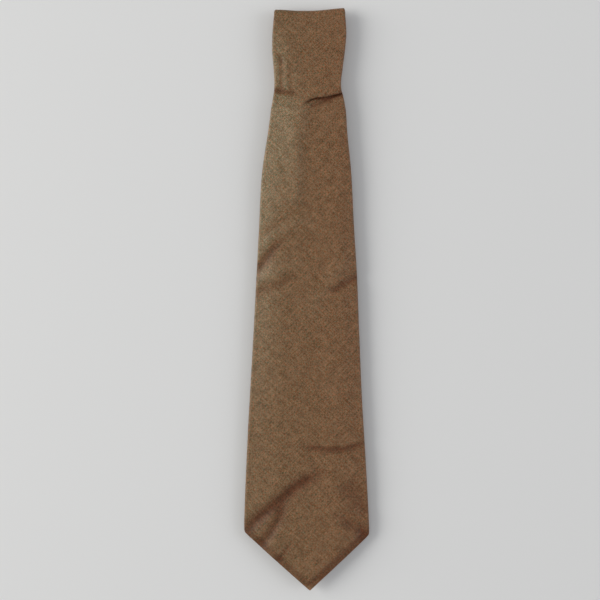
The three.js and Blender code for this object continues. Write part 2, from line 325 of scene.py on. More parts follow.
def lay_blade(x, s, level):
    """Where a point of the blade lies: x across, s from the tip, level above its back."""
    x, s, level = (np.asarray(v, float) for v in (x, s, level))
    lift = np.clip(level / RUN, -0.3, 1)
    flat = ease(s, 477, 466)
    above = s - curve(PLEAT, x)
    hold = ease(x, -8, 6)
    step = np.tanh(above / PLEAT_EDGE)
    spans = np.where(above > 0, PLEAT_ABOVE, PLEAT_BELOW)
    pleat = hold * (0.1 + PLEAT_RISE * step) * np.exp(-((above / spans) ** 2))
    slide = hold * PLEAT_OVERLAP * np.exp(-((above / 5.0) ** 2)) * (0.5 + 0.5 * step) * lift
    from_side = np.minimum(x - blade_left(s), blade_right(s) - x)
    plump = PLUMP * ease(from_side, 0.0, PLUMP_SIDE)
    hem = HEM_STEP * hem_share(blade_right(s) - x, s)
    wanted = CREASE_SHARE * crease_heights(x, s) + pleat + plump - hem
    relief = -softer(-wanted, MOST_RELIEF, 0.5) * lift * flat
    past_neck = np.maximum(np.abs(x) - neck_half(TIP_Y + s) - 2, 0)
    overhang = np.hypot(past_neck, np.maximum(BARE_TIP - s, 0))
    room = TAIL_CLEAR + SAG * ease(np.abs(x), TAIL_WIDTH, 40.0)
    droop = np.minimum(SAG * (1 - np.exp(-((overhang / SAG_SPAN) ** 1.6))), room) * ease(s, 470, 430)
    # The half turn of the fold. Each layer reaches a little further than the one inside it.
    turn = np.clip((s - FOLD_AT) / FOLD_ARC, 0, 1) * np.pi
    reach = 2.8 + 0.65 * ease(level, 0.6, 2.0) + 0.12 * ease(level, 2.2, 3.1)
    ear = EAR_MIDDLE + EAR_RIGHT * ease(x, 2, 34) + EAR_LEFT * ease(x, -6, -26)
    ear = ear * ease(level, 2.2, 3.1)
    corner_l = 3.0 * (1 - np.sqrt(1 - np.clip((-25.7 - x) / 3.05, 0, 1) ** 2))
    corner_r = 1.6 * (1 - np.sqrt(1 - np.clip((x - 29.8) / 2.1, 0, 1) ** 2))
    y_fold = TOP_Y + np.maximum(reach + ear - corner_l - corner_r, 0.6) * np.sin(turn)
    z_fold = TOP_Z + (TOP_GAP + level) * np.cos(turn)
    y_flat = TIP_Y + s - slide * flat
    z_flat = BLADE_BACK + level + relief - droop
    folded = s > FOLD_AT
    return np.stack([x, np.where(folded, y_fold, y_flat), np.where(folded, z_fold, z_flat)], -1)


def with_pleat(rows, x):
    """Rows that follow the pleat where they pass it, so that its edge is clean."""
    near = ease(rows, 372, 400) * ease(rows, 452, 424)
    return rows[:, None] + near[:, None] * (curve(PLEAT, np.clip(x, -7, 36)) - PLEAT_AT)


def spread(a, b, columns):
    """Evenly placed from a to b, row by row."""
    return a[:, None] + (b - a)[:, None] * np.linspace(0, 1, columns)[None, :]


def section(left, right, inner_edge, outer_edge, counts):
    """Across the sleeve, from the inner flap's free edge round both sides to the outer flap's.
    Counts are the columns of a flap, of a turned side and of the face."""
    middle = (left + right) / 2
    bend = np.minimum(EDGE_ROUND, 0.45 * (right - left) / 2 + 0.02)
    quarter = np.linspace(-np.pi / 2, np.pi / 2, counts[1])[None, :]
    inner = spread(np.maximum(inner_edge, left + bend), left + bend, counts[0])
    face = spread(left + bend, right - bend, counts[2])
    outer = spread(right - bend, np.minimum(outer_edge, right - bend), counts[0])
    half_l = (FACE_LEVEL - INNER_LEVEL) / 2
    half_r = (FACE_LEVEL - OUTER_LEVEL) / 2
    turn_l = (left + bend)[:, None] - bend[:, None] * np.cos(quarter)
    turn_r = (right - bend)[:, None] + bend[:, None] * np.cos(quarter)
    level_l = INNER_LEVEL + half_l + half_l * np.sin(quarter) + 0 * turn_l
    level_r = FACE_LEVEL - half_r - half_r * np.sin(quarter) + 0 * turn_r
    x = np.concatenate([inner[:, :-1], turn_l[:, :-1], face[:, :-1], turn_r[:, :-1], outer], 1)
    level = np.concatenate([0 * inner[:, :-1] + INNER_LEVEL, level_l[:, :-1],
                            0 * face[:, :-1] + FACE_LEVEL, level_r[:, :-1],
                            0 * outer + OUTER_LEVEL], 1)
    lengths = np.hypot(np.diff(x, axis=1), np.diff(level, axis=1))
    across = np.concatenate([np.zeros((len(x), 1)), np.cumsum(lengths, 1)], 1)
    centre = counts[0] + counts[1] - 2 + counts[2] // 2
    return x, level, across - across[:, centre : centre + 1] + middle[:, None]


def quads(at):
    """The four corners of each cell of a grid of point numbers."""
    return np.stack([at[:-1, :-1], at[:-1, 1:], at[1:, 1:], at[1:, :-1]], -1).reshape(-1, 4)


def cloth(name, points, across, along, thick, finish, tube=False, marks=None):
    """A sheet through a grid of points, with its own flat coordinates in metres. The last column
    of a tube is its first."""
    rows, columns = points.shape[:2]
    at = np.arange(rows * columns).reshape(rows, columns)
    used = points[:, :-1] if tube else points
    own = np.arange(used.shape[0] * used.shape[1]).reshape(used.shape[:2])
    faces = quads(np.concatenate([own, own[:, :1]], 1) if tube else own)
    made = link_mesh(name, used.reshape(-1, 3), faces.tolist())
    flat = made.data.uv_layers.new(name="cloth")
    grid = np.stack([across, along], -1).reshape(-1, 2) * MM
    flat.data.foreach_set("uv", grid[quads(at).ravel()].ravel())
    for mark, values in (marks or {}).items():
        drawn = made.data.attributes.new(mark, "FLOAT", "POINT")
        drawn.data.foreach_set("value", values.ravel().astype(np.float32))
    wall = made.modifiers.new("thickness", "SOLIDIFY")
    wall.thickness = thick * MM
    wall.offset = 0
    made.data.materials.append(finish)
    return made


def spaced(*spans):
    """Row places from (start, end, step) spans, one after the other."""
    rows = [np.arange(a, b, step) if b > a else np.arange(a, b, -step) for a, b, step in spans]
    return np.concatenate([*rows, [spans[-1][1]]])


# Shot silk: rust threads one way and olive the other, both at 45 degrees to the tie because it is
# cut on the bias. The eye sees a brown that turns rusty or grey, with a soft, broad shine. Real
# threads are about 0.15 mm wide; they are drawn 0.6 mm wide and the thicker slubs 0.8 mm wide, as
# coarse as they need to be to show. These sizes are in metres.
THREAD_LONG, THREAD_WIDE = 0.0016, 0.0006
SLUB_LONG, SLUB_WIDE = 0.018, 0.0008
CLOUD_LONG, CLOUD_WIDE = 0.007, 0.005
BIAS = math.radians(45)
silk, silk_shader = material("shot silk")


def streaks(tree, source, angle, along, across, detail, seed):
    """Threads as noise drawn out along one direction, sizes in metres."""
    turned = node(tree, "ShaderNodeMapping", {"Vector": source}, in_Rotation=(0, 0, angle))
    sized = node(tree, "ShaderNodeMapping", {"Vector": turned.outputs[0]},
                 in_Scale=(1 / along, 1 / across, 1), in_Location=(seed, seed, 0))
    return node(tree, "ShaderNodeTexNoise", {"Vector": sized.outputs[0]}, noise_dimensions="2D",
                in_Scale=1.0, in_Detail=detail, in_Roughness=0.6)


def silk_nodes(tree, shader, dark, light, rust, olive, painted_crease_shade, painted_sheen_tint):
    """Threads of two colours, tinted greyer on the left and rustier on the right as painted light, with
    painted shade, darker and redder, in the creases and a paler painted sheen on the upper left.
    """
    flat = node(tree, "ShaderNodeUVMap", uv_map="cloth").outputs[0]
    warp = streaks(tree, flat, BIAS, THREAD_LONG, THREAD_WIDE, 0.0, 3.1).outputs[0]
    weft = streaks(tree, flat, -BIAS, THREAD_LONG, THREAD_WIDE, 0.0, 7.7).outputs[0]
    slub = streaks(tree, flat, BIAS, SLUB_LONG, SLUB_WIDE, 1.0, 5.3).outputs[0]
    cross = streaks(tree, flat, -BIAS, SLUB_LONG, SLUB_WIDE, 1.0, 9.2).outputs[0]
    cloud = streaks(tree, flat, 0.3, CLOUD_LONG, CLOUD_WIDE, 3.0, 1.4).outputs[0]
    fine = node(tree, "ShaderNodeMath", {0: warp, 1: weft}, operation="ADD").outputs[0]
    lines = node(tree, "ShaderNodeMath", {0: slub, 1: cross}, operation="ADD").outputs[0]
    apart = node(tree, "ShaderNodeMath", {0: warp, 1: weft}, operation="SUBTRACT").outputs[0]
    both = node(tree, "ShaderNodeMath", {0: lines, 2: fine}, operation="MULTIPLY_ADD",
                in_1=0.8).outputs[0]
    raised = node(tree, "ShaderNodeMapRange", {"Value": both}, in_1=1.40, in_2=2.20).outputs[0]
    # Painted light: the left side of the blade, facing the lamp, is tinted greyer olive, and the right
    # side, turned from it, rustier.
    turned = node(tree, "ShaderNodeAttribute", attribute_name="turned").outputs["Fac"]
    leaning = node(tree, "ShaderNodeMath", {0: turned, 2: apart}, operation="MULTIPLY_ADD",
                   in_1=0.08).outputs[0]
    shot = node(tree, "ShaderNodeMapRange", {"Value": leaning}, in_1=-0.20, in_2=0.20).outputs[0]
    value = node(tree, "ShaderNodeMix", {"Factor": raised}, data_type="RGBA")
    value.inputs["A"].default_value = srgb(dark)
    value.inputs["B"].default_value = srgb(light)
    hue = node(tree, "ShaderNodeMix", {"Factor": shot}, data_type="RGBA")
    hue.inputs["A"].default_value = srgb(olive)
    hue.inputs["B"].default_value = srgb(rust)
    mixed = node(tree, "ShaderNodeMix", {"A": value.outputs["Result"], "B": hue.outputs["Result"]},
                 data_type="RGBA", in_0=0.5)
    tone = node(tree, "ShaderNodeMapRange", {"Value": cloud}, in_1=0.3, in_2=0.7, in_3=0.84, in_4=1.16)
    final = node(tree, "ShaderNodeHueSaturation",
                 {"Color": mixed.outputs["Result"], "Value": tone.outputs[0]})
    # Painted shade: the creases, the pleat's groove and the hems are multiplied by a darker, redder
    # colour.
    shade_and_sheen = node(tree, "ShaderNodeAttribute", attribute_name="shade_and_sheen").outputs["Fac"]
    shaded = node(tree, "ShaderNodeMix", {"Factor": shade_and_sheen, "A": final.outputs[0]}, data_type="RGBA",
                blend_type="MULTIPLY")
    shaded.inputs["B"].default_value = srgb(painted_crease_shade)
    # Painted sheen: where the mark is negative, the colour is lifted paler and greyer.
    sheen_share = node(tree, "ShaderNodeMath", {0: shade_and_sheen}, operation="MULTIPLY", in_1=-1.0, use_clamp=True)
    painted_sheen = node(tree, "ShaderNodeMix", {"Factor": sheen_share.outputs[0], "A": shaded.outputs["Result"]},
                data_type="RGBA", blend_type="MULTIPLY")
    painted_sheen.inputs["B"].default_value = painted_sheen_tint
    tree.links.new(painted_sheen.outputs["Result"], shader.inputs["Base Color"])
    bump = node(tree, "ShaderNodeBump", {"Height": both}, in_Strength=0.5, in_Distance=0.0001)
    tree.links.new(bump.outputs[0], shader.inputs["Normal"])


# The last two colours are a painted crease shade and a painted sheen tint.
silk_nodes(silk.node_tree, silk_shader, dark="#36240C", light="#9C7E64", rust="#915126",
           olive="#605E3E", painted_crease_shade="#C2A292", painted_sheen_tint=(1.25, 1.5, 1.72, 1))
silk_shader.inputs["Roughness"].default_value = 0.45
silk_shader.inputs["IOR"].default_value = 1.5
silk_shader.inputs["Specular IOR Level"].default_value = 0.25
silk_shader.inputs["Sheen Weight"].default_value = 0.02
silk_shader.inputs["Sheen Roughness"].default_value = 0.45
silk_shader.inputs["Sheen Tint"].default_value = srgb("#E6E0D6")

# Two hemmed edges run up from the tip. From the shoulders the flaps close in on each other, and
# they lap from the notch on.
NOTCH_AT = 93.65
FLAPS_FROM = 49.0
FLAP_OUT, FLAP_CLOSING = 46.5, 42.5
rows = spaced((0.05, 1.0, 0.3), (1.0, 6.0, 0.7), (6.0, 44.0, 1.5), (44.0, 52.0, 0.8), (52.0, 92.4, 1.5),
              (92.4, 95.4, 0.5), (95.4, 130.0, 1.5), (130.0, 240.0, 2.6), (240.0, 325.0, 2.0),
              (325.0, 396.0, 2.4), (396.0, 422.0, 0.55), (422.0, 446.0, 1.0), (446.0, FOLD_AT, 2.0),
              (FOLD_AT, FOLD_AT + FOLD_ARC, FOLD_ARC / 36))
left, right = blade_left(rows), blade_right(rows)
for _ in range(2):  # the pleat moves the rows that the sides are read at
    left = blade_left(with_pleat(rows, left[:, None])[:, 0])
    right = blade_right(with_pleat(rows, right[:, None])[:, 0])
hem_across = HEM * 1.42
below = np.clip((rows - FLAPS_FROM) / (NOTCH_AT - FLAPS_FROM), 0, 1)
past = ease(rows, NOTCH_AT, NOTCH_AT + 1.5)
inner_edge = np.minimum(left + hem_across, TIP_X - 0.1)
inner_edge = np.where(rows > FLAPS_FROM, -FLAP_OUT + FLAP_CLOSING * below, inner_edge)
inner_edge = inner_edge + (LAP - inner_edge) * past
outer_edge = np.maximum(right - hem_across, TIP_X + 0.1)
outer_edge = np.where(rows > FLAPS_FROM, FLAP_OUT - FLAP_CLOSING * below, outer_edge)
outer_edge = outer_edge + (-LAP - outer_edge) * past
x, level, across = section(left, right, inner_edge, outer_edge, (14, 8, 84))
along = with_pleat(rows, x)
half = (right - left)[:, None] / 2
# Two marks carry painted light. One tints the left side greyer and the right rustier. The other holds the
# painted shade of the creases, pleat and hems and, where negative, the painted sheen.
blade_silk = cloth("blade_silk", lay_blade(x, along, level), across, along, SILK, silk,
                   marks={"turned": np.clip(x / half, -1, 1),
                          "shade_and_sheen": np.where(level > 2.4, shade_marks(x, along, half), 0.0)})
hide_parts("blade_envelope", "top_fold_envelope")


def across_top_fold(piece):
    """Its place goes into its own mesh; it is not tied to a body."""
    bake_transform(piece)


across_top_fold(blade_silk)

# ---- Interlining of the blade, round the top fold ----
# One strip of brushed wool canvas, cut to the silk's inside. It gives the tie its body, and the
# fold its soft round edge.
WOOL = 0.6
WOOL_LEVEL = 2.1
wool, wool_shader = material("brushed wool canvas")
wool_shader.inputs["Roughness"].default_value = 0.95
wool_shader.inputs["Sheen Weight"].default_value = 0.3


def ribbed(tree, shader, source, along, across, dark, light, depth):
    """Fibres or ribs in two close colours, with their own bump."""
    grain = streaks(tree, source, 0.0, along, across, 3.0, 2.2).outputs[0]
    share = node(tree, "ShaderNodeMapRange", {"Value": grain}, in_1=0.32, in_2=0.68)
    blend = node(tree, "ShaderNodeMix", {"Factor": share.outputs[0]}, data_type="RGBA")
    blend.inputs["A"].default_value = srgb(dark)
    blend.inputs["B"].default_value = srgb(light)
    tree.links.new(blend.outputs["Result"], shader.inputs["Base Color"])
    bump = node(tree, "ShaderNodeBump", {"Height": grain}, in_Strength=0.5, in_Distance=depth)
    tree.links.new(bump.outputs[0], shader.inputs["Normal"])


ribbed(wool.node_tree, wool_shader,
       node(wool.node_tree, "ShaderNodeUVMap", uv_map="cloth").outputs[0],
       0.004, 0.0012, "#CFC6B0", "#E4DDCB", 0.0003)


def straight(rows, x):
    """Rows that run straight across."""
    return rows[:, None] + 0 * x


def strip(name, along, left, right, level, lay, thick, finish, columns, follow=straight):
    """A flat strip of cloth between two sides, at one level of a run."""
    x = spread(left, right, columns)
    s = follow(along, x)
    return cloth(name, lay(x, s, np.full_like(x, level)), x, s, thick, finish)


# It stays this far inside the silk's sides, and inside the two edges of the tip.
SIDE_INSET, TIP_INSET = 1.9, 2.6
wool_rows = spaced((2.8, 130.0, 1.6), (130.0, 240.0, 4.0), (240.0, 396.0, 2.5), (396.0, 424.0, 1.2),
                   (424.0, FOLD_AT, 2.5), (FOLD_AT, FOLD_AT + FOLD_ARC, FOLD_ARC / 36))
inset = TIP_INSET + (SIDE_INSET - TIP_INSET) * ease(wool_rows, 44, 50)
blade_wool = strip("blade_wool", wool_rows,
                   np.minimum(blade_left(wool_rows) + inset, TIP_X - 0.05),
                   np.maximum(blade_right(wool_rows) - inset, TIP_X + 0.05),
                   WOOL_LEVEL, lay_blade, WOOL, wool, 71, with_pleat)
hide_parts("blade_interlining", "top_fold_interlining")
across_top_fold(blade_wool)

# ---- Tipping of the blade ----
# A V of smooth acetate satin in the silk's own brown. It backs the tip and shows between the
# flaps, with a quieter, smoother shine than the silk.
TIPPING = 0.22
TIPPING_LEVEL = 1.425
lining, lining_shader = material("acetate satin lining")
lining_shader.inputs["Roughness"].default_value = 0.45
lining_shader.inputs["Specular IOR Level"].default_value = 0.3
lining_shader.inputs["Anisotropic"].default_value = 0.4
ribbed(lining.node_tree, lining_shader,
       node(lining.node_tree, "ShaderNodeUVMap", uv_map="cloth").outputs[0],
       0.014, 0.0006, "#5C4230", "#6A4D38", 0.00005)

tipping_rows = spaced((2.6, 52.0, 1.6), (52.0, NOTCH_AT + 10.0, 2.5))
inset = TIP_INSET + (SIDE_INSET - TIP_INSET) * ease(tipping_rows, 44, 50) - 0.3
blade_tipping = strip("blade_satin_tipping", tipping_rows,
                      np.minimum(blade_left(tipping_rows) + inset, TIP_X - 0.05),
                      np.maximum(blade_right(tipping_rows) - inset, TIP_X + 0.05),
                      TIPPING_LEVEL, lay_blade, TIPPING, lining, 41)
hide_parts("blade_tipping")
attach(blade_tipping, "blade")

# ---- Stitches of the blade ----
# Twisted silk thread: felling stitches along the hem, a bar tack where the flaps meet, and the
# long loose slip stitch that closes the back.
THREAD = 0.35
thread, thread_shader = material("twisted silk thread")
thread_shader.inputs["Roughness"].default_value = 0.5
ribbed(thread.node_tree, thread_shader,
       node(thread.node_tree, "ShaderNodeTexCoord").outputs["Object"],
       0.0012, 0.0004, "#4E3826", "#6B4F38", 0.0001)


def stitching_tree():
    """Stitches set at equal steps along a line, each one a bent thread."""
    tree = bpy.data.node_groups.new("stitches along a line", "GeometryNodeTree")
    sockets = tree.interface
    sockets.new_socket("Line", in_out="INPUT", socket_type="NodeSocketGeometry")
    for name in ("Step", "Stitch length", "Thread", "Rise", "Slant"):
        sockets.new_socket(name, in_out="INPUT", socket_type="NodeSocketFloat")
    sockets.new_socket("Finish", in_out="INPUT", socket_type="NodeSocketMaterial")
    sockets.new_socket("Stitches", in_out="OUTPUT", socket_type="NodeSocketGeometry")
    given = node(tree, "NodeGroupInput").outputs
    half, back, crest, radius = (
        node(tree, "ShaderNodeMath", {0: given[size]}, operation="MULTIPLY", in_1=share).outputs[0]
        for size, share in (("Stitch length", 0.5), ("Stitch length", -0.5), ("Rise", 2.0),
                            ("Thread", 0.5)))
    start = node(tree, "ShaderNodeCombineXYZ", {"X": back}).outputs[0]
    middle = node(tree, "ShaderNodeCombineXYZ", {"Z": crest}).outputs[0]
    end = node(tree, "ShaderNodeCombineXYZ", {"X": half}).outputs[0]
    bow = node(tree, "GeometryNodeCurveQuadraticBezier", {"Start": start, "Middle": middle, "End": end},
               in_Resolution=5)
    ring = node(tree, "GeometryNodeCurvePrimitiveCircle", {"Radius": radius}, in_Resolution=6)
    stitch = node(tree, "GeometryNodeCurveToMesh",
                  {"Curve": bow.outputs[0], "Profile Curve": ring.outputs[0]}, in_Fill_Caps=True)
    line = node(tree, "GeometryNodeMeshToCurve", {"Mesh": given["Line"]})
    steps = node(tree, "GeometryNodeResampleCurve", {"Curve": line.outputs[0], "Length": given["Step"]},
                 mode="LENGTH")
    heading = node(tree, "FunctionNodeAlignRotationToVector",
                   {"Vector": node(tree, "GeometryNodeInputTangent").outputs[0]}, axis="X", pivot_axis="Z")
    slant = node(tree, "ShaderNodeCombineXYZ", {"Z": given["Slant"]})
    turned = node(tree, "FunctionNodeRotateRotation",
                  {"Rotation": heading.outputs[0], "Rotate By": slant.outputs[0]}, rotation_space="LOCAL")
    placed = node(tree, "GeometryNodeInstanceOnPoints",
                  {"Points": steps.outputs[0], "Instance": stitch.outputs[0],
                   "Rotation": turned.outputs[0]})
    plain = node(tree, "GeometryNodeRealizeInstances", {"Geometry": placed.outputs[0]})
    smooth = node(tree, "GeometryNodeSetShadeSmooth", {"Geometry": plain.outputs[0]})
    done = node(tree, "GeometryNodeSetMaterial",
                {"Geometry": smooth.outputs[0], "Material": given["Finish"]})
    node(tree, "NodeGroupOutput", {"Stitches": done.outputs[0]})
    return tree


stitches_along = stitching_tree()


def stitch(name, lines, step, length, slant, body, replaced, rise=-0.12, thick=THREAD):
    """Stitches along one or more lines of points, as one plain mesh. Slant is in degrees, and rise
    is how far a stitch bows out in the middle."""
    vertices = [p for line in lines for p in line]
    edges, first = [], 0
    for line in lines:
        edges += [(first + i, first + i + 1) for i in range(len(line) - 1)]
        first += len(line)
    guide = bpy.data.meshes.new(name + "_line")
    guide.from_pydata((np.array(vertices) * MM).tolist(), edges, [])
    carrier = bpy.data.objects.new(name + "_line", guide)
    scene.collection.objects.link(carrier)
    sewing = carrier.modifiers.new("sewing", "NODES")
    sewing.node_group = stitches_along
    values = {"Step": step * MM, "Stitch length": length * MM, "Thread": thick * MM, "Rise": rise * MM,
              "Slant": math.radians(slant), "Finish": thread}
    for item in stitches_along.interface.items_tree:
        if item.name in values and item.in_out == "INPUT":
            sewing[item.identifier] = values[item.name]
    bpy.context.view_layer.update()
    sewn = carrier.evaluated_get(bpy.context.evaluated_depsgraph_get())
    solid = bpy.data.meshes.new_from_object(sewn)
    bpy.data.objects.remove(carrier)
    made = bpy.data.objects.new(name, solid)
    scene.collection.objects.link(made)
    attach(made, body)
    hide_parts(*replaced)


def on_blade(points, level):
    """Points given by x and distance from the tip, laid at one level of the blade."""
    x, s = np.array(points, float).T
    return lay_blade(x, s, np.full_like(x, level))


def hem_line(side):
    """Just inside the hem, from the shoulder to the tip."""
    s = np.linspace(48.5, 9.5, 24)
    edge = blade_left(s) + hem_across if side < 0 else blade_right(s) - hem_across
    return np.stack([edge, s], 1)


# Levels at which the thread shows, on the inner and on the outer flap.
ON_INNER, OUTSIDE = 0.62, -0.03
TACK_HALF = 3.6
stitch("blade_tipping_felling", [on_blade(hem_line(-1), ON_INNER), on_blade(hem_line(1), OUTSIDE)],
       2.6, 1.5, 50, "blade", ["blade_tipping_stitch"])
tack = [(-TACK_HALF, NOTCH_AT - 0.6), (TACK_HALF, NOTCH_AT - 0.6)]
stitch("blade_bar_tack_thread", [on_blade(tack, OUTSIDE)], 0.42, 2.2, 90, "blade", ["blade_bar_tack"])
closing = np.stack([np.full(90, -LAP), np.linspace(NOTCH_AT + 6, FOLD_AT - 1, 90)], 1)
stitch("blade_slip_stitching", [on_blade(closing, OUTSIDE)], 6.5, 2.6, 62, "blade",
       ["blade_slip_stitch"])

# ---- Keeper loop ----
# A narrow flattened tube of the tie's own silk, tacked across the back at both ends. The tail is
# slipped through it.
KEEPER_AT, KEEPER_HALF, KEEPER_WIDE, KEEPER_THICK = 232.0, 31.0, 9.0, 0.46
KEEPER_LEVEL, KEEPER_WALL = -0.5, 0.14


def flat_tube(name, half, at, wide, thick, level, finish):
    """A tube of cloth pressed flat across the blade, thinner at its two tacked ends."""
    angle = np.linspace(0, 2 * np.pi, 33)[None, :]
    rows = np.linspace(-half, half, 49)[:, None]
    end = 1 - 0.5 * np.exp(-((half - np.abs(rows)) / 0.8))
    round_part = np.sign(np.cos(angle)) * np.abs(np.cos(angle)) ** 0.35
    s = at - wide / 2 * round_part + 0 * rows
    height = level + thick / 2 * end * np.sign(np.sin(angle)) * np.abs(np.sin(angle)) ** 0.6
    x = rows + 0 * angle
    around = np.cumsum(np.hypot(np.diff(s, axis=1), np.diff(height, axis=1)), 1)
    around = np.concatenate([0 * rows, around], 1)
    return cloth(name, lay_blade(x, s, height), around, x, KEEPER_WALL, finish, tube=True)


keeper = flat_tube("silk_keeper_loop", KEEPER_HALF, KEEPER_AT, KEEPER_WIDE, KEEPER_THICK,
                   KEEPER_LEVEL, silk)
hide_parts("keeper_loop")
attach(keeper, "blade")
for side, name in ((-1, "left"), (1, "right")):
    ends = [(side * (KEEPER_HALF - 0.3), KEEPER_AT + d) for d in (-3.6, 3.6)]
    stitch(f"keeper_{name}_tacking", [on_blade(ends, KEEPER_LEVEL - 0.2)], 0.8, 2.4, 90, "blade",
           [f"keeper_tack_{name}"], rise=-0.04, thick=0.3)

# ---- Labels ----
# A woven satin label below the keeper and a cotton care tape above it, sewn on by hand with small
# whip stitches. Both are left blank. Satin shines along its ribs; the tape is dull and cream.
satin, satin_shader = material("woven label satin")
satin_shader.inputs["Roughness"].default_value = 0.42
ribbed(satin.node_tree, satin_shader,
       node(satin.node_tree, "ShaderNodeUVMap", uv_map="cloth").outputs[0],
       0.009, 0.0005, "#2A2019", "#3A2E25", 0.00005)
tape, tape_shader = material("cotton care tape")
tape_shader.inputs["Roughness"].default_value = 0.8
ribbed(tape.node_tree, tape_shader,
       node(tape.node_tree, "ShaderNodeUVMap", uv_map="cloth").outputs[0],
       0.006, 0.0007, "#D9D2C2", "#EAE5D8", 0.00005)


def label(name, half, at, tall, level, thick, finish, replaced):
    rows = at + tall / 2 * np.linspace(-1, 1, 21)
    made = strip(name, rows, np.full(21, half), np.full(21, -half), level, lay_blade, thick, finish, 41)
    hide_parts(replaced)
    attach(made, "blade")


LABEL_HALF, LABEL_AT, LABEL_TALL, LABEL_LEVEL = 26.0, 200.0, 26.0, -0.45
TAPE_HALF, TAPE_AT, TAPE_TALL, TAPE_LEVEL = 10.0, 262.0, 30.0, -0.4
label("satin_label", LABEL_HALF, LABEL_AT, LABEL_TALL, LABEL_LEVEL, 0.22, satin, "woven_label")
label("care_tape", TAPE_HALF, TAPE_AT, TAPE_TALL, TAPE_LEVEL, 0.16, tape, "care_label")
rim_x, rim_y = LABEL_HALF + 0.1, LABEL_TALL / 2 + 0.1
rim = []
for (x0, y0), (x1, y1) in zip(CORNERS, CORNERS[1:] + CORNERS[:1]):
    for t in np.linspace(0, 1, 14)[:-1]:
        rim.append((rim_x * (x0 + (x1 - x0) * t), LABEL_AT + rim_y * (y0 + (y1 - y0) * t)))
rim.append(rim[0])
stitch("label_whip_stitches", [on_blade(rim, LABEL_LEVEL - 0.1)], 3.4, 1.3, 80, "blade",
       ["label_stitching"], rise=-0.05, thick=0.28)

# ---- Silk of the neck ----
# The front panel runs on face down under the blade to a bias join, where the gusset takes over.
# The outer flap, lapped from the same side throughout, is uppermost here.
gusset_low = np.array(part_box("neck_gusset")[0]) / MM
LOW_Y = gusset_low[1] - 0.3
lower_low, lower_high = (np.array(c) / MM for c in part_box("lower_fold_envelope"))
LOW_Z = (lower_low[2] + lower_high[2]) / 2
LOW_GAP = LOW_Z - RUN
FIRST_JOIN = 4.5
SEAM_GAP = 0.18
# Near the fold the neck takes on the blade's own sides, which lie further out than its half width.
SHIFT_LEFT, SHIFT_RIGHT, SHIFT_OVER = 2.14, 1.46, 45


def dip(x, y, level, join):
    """The edges of two panels turn in where they are joined."""
    away = (y - x - join) / math.sqrt(2)
    return level - 0.5 * (level / RUN) * np.exp(-((away / 0.7) ** 2))


def lay_neck(x, y, level):
    return np.stack([x, y, NECK_BACK - dip(x, y, level, FIRST_JOIN)], -1)


def sleeve(name, rows, shear, half, lay, flaps=(LAP, -LAP), shift=(0, 0)):
    """A length of the silk tube. A row is shear times x further along at x from the middle."""
    left, right = shift[0] - half, shift[1] + half
    inner_edge, outer_edge = (np.broadcast_to(edge, rows.shape) for edge in flaps)
    x, level, across = section(left, right, inner_edge, outer_edge, (9, 7, 34))
    y = rows[:, None] + shear[:, None] * x
    return cloth(name, lay(x, y, level), across, y, SILK, silk)


def silk_piece(replaced):
    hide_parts(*replaced)


neck_rows = spaced((TOP_Y, 100.0, 4.0), (100.0, FIRST_JOIN + 3.5, 2.5),
                   (FIRST_JOIN + 3.5, FIRST_JOIN + SEAM_GAP, 0.4))
fade = ease(neck_rows, TOP_Y - SHIFT_OVER, TOP_Y)
neck_silk = sleeve("neck_front_silk", neck_rows, ease(neck_rows, 92, 18), neck_half(neck_rows),
                   lay_neck, shift=(SHIFT_LEFT * fade, SHIFT_RIGHT * fade))
gusset_rows = spaced((FIRST_JOIN - SEAM_GAP, FIRST_JOIN - 3.5, 0.4), (FIRST_JOIN - 3.5, -60.0, 2.5),
                     (-60.0, LOW_Y, 4.0))
gusset_silk = sleeve("neck_gusset_silk", gusset_rows, ease(gusset_rows, -90, -14),
                     neck_half(gusset_rows), lay_neck)

neck_wool_rows = spaced((TOP_Y, LOW_Y, 5.0))
fade = ease(neck_wool_rows, TOP_Y - SHIFT_OVER, TOP_Y)
neck_wool = strip("neck_wool", neck_wool_rows,
                  SHIFT_LEFT * fade - neck_half(neck_wool_rows) + SIDE_INSET,
                  SHIFT_RIGHT * fade + neck_half(neck_wool_rows) - SIDE_INSET,
                  WOOL_LEVEL, lay_neck, WOOL, wool, 21)
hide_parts("neck_interlining")
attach(neck_wool, "neck")
silk_piece(["neck_front_envelope"])
silk_piece(["neck_gusset"])
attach(neck_silk, "neck")
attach(gusset_silk, "neck")


JOIN_LEVEL = FACE_LEVEL + 0.34


def join_line(join, half, lay):
    """Along a bias join, across the face."""
    x = np.linspace(1.5 - half, half - 1.5, 16)
    return lay(x, join + x, np.full_like(x, JOIN_LEVEL))


stitch("first_join_stitches", [join_line(FIRST_JOIN, 19.9, lay_neck)], 1.7, 1.3, 0, "neck",
       ["first_join_seam"], rise=-0.05, thick=0.3)
closing_y = np.linspace(TOP_Y - 2, LOW_Y + 2, 60)
stitch("neck_slip_stitching", [lay_neck(np.full(60, -LAP), closing_y, np.full(60, OUTSIDE))],
       6.5, 2.6, 62, "neck", ["neck_slip_stitch"], rise=0.12)

# ---- Tail, round the lower fold ----
# The gusset turns face up at the lower fold and ends at a second bias join. The tail panel runs on
# to a small hemmed tip. Its interlining is the neck's own strip, running on.
LOW_ARC = 9.0
ON_TABLE = 0.18  # the thread's level on the outer flap, kept just above the table
SECOND_JOIN = -162.5
TAIL_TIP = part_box("tail_envelope")[1][1] / MM
TAIL_HALF, TAIL_DEPTH = 23.0, 23.0
TAIL_HEM, TAIL_NOTCH, TAIL_FLAPS_FROM = 7.1, 40.1, 25.0


